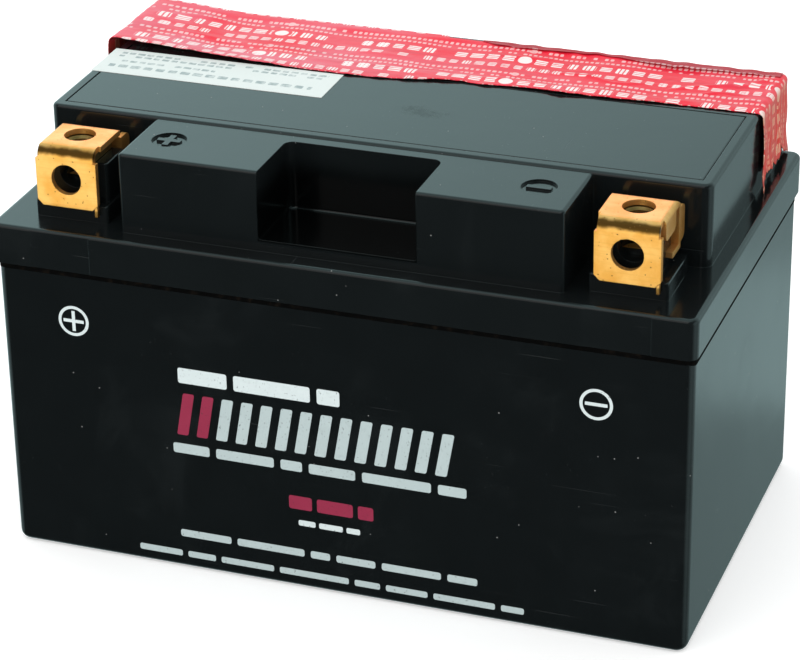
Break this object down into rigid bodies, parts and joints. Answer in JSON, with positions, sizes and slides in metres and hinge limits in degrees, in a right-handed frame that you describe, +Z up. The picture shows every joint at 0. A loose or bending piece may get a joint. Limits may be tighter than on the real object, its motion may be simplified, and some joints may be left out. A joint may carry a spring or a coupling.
{
  "type": "motorcycle battery",
  "caption": "Sealed block battery with a stepped lid, two folded-metal bolt terminals in recessed corners, a hold-down notch and a foil-sealed filler row.",
  "frame": {"origin": "centre of the bottom face of the case", "axes": "+X along the length from the positive to the negative terminal, -Y towards the terminal side, +Z up"},
  "size_m": [0.15, 0.087, 0.093],
  "materials": {
    "case_plastic": "moulded black polypropylene, semi-gloss",
    "porous_ceramic": "porous sintered disc",
    "seal_foil": "crimson lacquered foil, crinkled, pale printed marks",
    "label_film": "silver-white film label",
    "strap_lead": "cast lead alloy, dull",
    "lid_plastic": "moulded black polypropylene, glossy",
    "negative_plate": "grey pasted plate, matte",
    "post_lead": "cast lead alloy, dull",
    "post_seal_rubber": "moulded rubber",
    "yellow_passivated_lug": "yellow passivated sheet metal, satin",
    "nut_steel": "yellow passivated square nut",
    "positive_plate": "dark brown pasted plate, matte",
    "glass_mat": "white glass fibre mat",
    "valve_rubber": "soft moulded rubber",
    "cover_plastic": "moulded black polypropylene, glossy"
  },
  "bodies": {
    "battery": {"container": "case_plastic", "flame_arrestor": "porous_ceramic", "foil_seal": "seal_foil", "info_label": "label_film", "intercell_welds": "strap_lead", "lid": "lid_plastic", "negative_plates_cell_1": "negative_plate", "negative_plates_cell_2": "negative_plate", "negative_plates_cell_3": "negative_plate", "negative_plates_cell_4": "negative_plate", "negative_plates_cell_5": "negative_plate", "negative_plates_cell_6": "negative_plate", "negative_post": "post_lead", "negative_post_seal": "post_seal_rubber", "negative_strap_cell_1": "strap_lead", "negative_strap_cell_2": "strap_lead", "negative_strap_cell_3": "strap_lead", "negative_strap_cell_4": "strap_lead", "negative_strap_cell_5": "strap_lead", "negative_strap_cell_6": "strap_lead", "negative_terminal_bracket": "yellow_passivated_lug", "positive_plates_cell_1": "positive_plate", "positive_plates_cell_2": "positive_plate", "positive_plates_cell_3": "positive_plate", "positive_plates_cell_4": "positive_plate", "positive_plates_cell_5": "positive_plate", "positive_plates_cell_6": "positive_plate", "positive_post": "post_lead", "positive_post_seal": "post_seal_rubber", "positive_strap_cell_1": "strap_lead", "positive_strap_cell_2": "strap_lead", "positive_strap_cell_3": "strap_lead", "positive_strap_cell_4": "strap_lead", "positive_strap_cell_5": "strap_lead", "positive_strap_cell_6": "strap_lead", "positive_terminal_bracket": "yellow_passivated_lug", "separators_cell_1": "glass_mat", "separators_cell_2": "glass_mat", "separators_cell_3": "glass_mat", "separators_cell_4": "glass_mat", "separators_cell_5": "glass_mat", "separators_cell_6": "glass_mat", "vent_cover": "cover_plastic"},
    "positive_nut": {"positive_terminal_nut": "nut_steel"},
    "negative_nut": {"negative_terminal_nut": "nut_steel"},
    "valve_1": {"valve_cap_1": "valve_rubber"},
    "valve_2": {"valve_cap_2": "valve_rubber"},
    "valve_3": {"valve_cap_3": "valve_rubber"},
    "valve_4": {"valve_cap_4": "valve_rubber"},
    "valve_5": {"valve_cap_5": "valve_rubber"},
    "valve_6": {"valve_cap_6": "valve_rubber"}
  },
  "joints": [
    {"name": "positive_nut_slide", "type": "slide", "parent": "battery", "child": "positive_nut", "axis": [1, 0, 0], "range_m": [0, 0.007]},
    {"name": "negative_nut_slide", "type": "slide", "parent": "battery", "child": "negative_nut", "axis": [-1, 0, 0], "range_m": [0, 0.007]},
    {"name": "valve_1_lift", "type": "slide", "parent": "battery", "child": "valve_1", "axis": [0, 0, 1], "range_m": [0, 0.0006], "stiffness_N_per_m": 20, "springref_m": -0.01},
    {"name": "valve_2_lift", "type": "slide", "parent": "battery", "child": "valve_2", "axis": [0, 0, 1], "range_m": [0, 0.0006], "stiffness_N_per_m": 20, "springref_m": -0.01},
    {"name": "valve_3_lift", "type": "slide", "parent": "battery", "child": "valve_3", "axis": [0, 0, 1], "range_m": [0, 0.0006], "stiffness_N_per_m": 20, "springref_m": -0.01},
    {"name": "valve_4_lift", "type": "slide", "parent": "battery", "child": "valve_4", "axis": [0, 0, 1], "range_m": [0, 0.0006], "stiffness_N_per_m": 20, "springref_m": -0.01},
    {"name": "valve_5_lift", "type": "slide", "parent": "battery", "child": "valve_5", "axis": [0, 0, 1], "range_m": [0, 0.0006], "stiffness_N_per_m": 20, "springref_m": -0.01},
    {"name": "valve_6_lift", "type": "slide", "parent": "battery", "child": "valve_6", "axis": [0, 0, 1], "range_m": [0, 0.0006], "stiffness_N_per_m": 20, "springref_m": -0.01}
  ]
}
